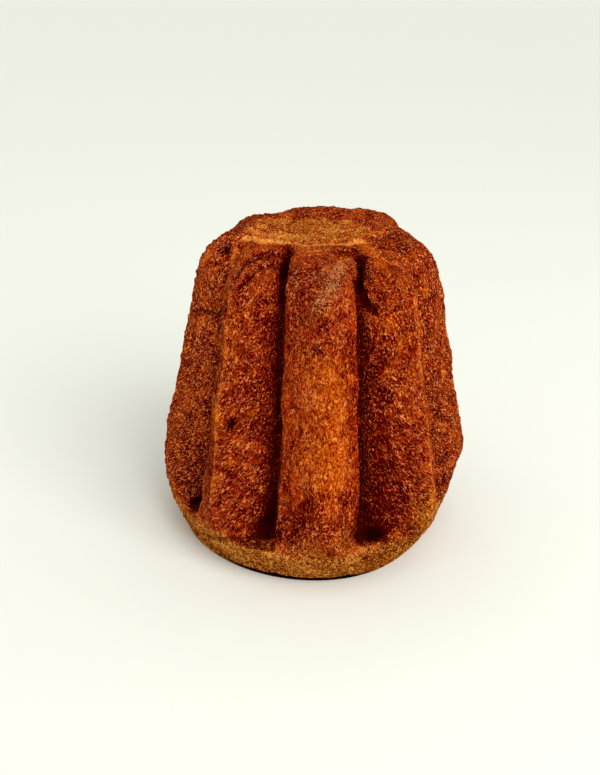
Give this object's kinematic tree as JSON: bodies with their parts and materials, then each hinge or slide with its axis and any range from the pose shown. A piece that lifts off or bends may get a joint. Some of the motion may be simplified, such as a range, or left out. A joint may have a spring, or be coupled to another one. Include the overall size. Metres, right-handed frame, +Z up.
{
  "type": "pandoro",
  "caption": "Whole uncut pandoro: a tall tapered sweet loaf with star-shaped ridges and a browned crust, standing on its wide round end",
  "frame": {"origin": "middle of the flat foot that the loaf stands on, at the level of the surface under it", "axes": "+Z up along the loaf's axis, -Y towards the front ridge, +X to the right seen from the front"},
  "size_m": [0.2052, 0.2052, 0.2024],
  "materials": {
    "crust": "dry, finely wrinkled browned crust, nearly black in the grooves and golden on the low band"
  },
  "bodies": {
    "root": {"pandoro": "crust"}
  },
  "joints": []
}
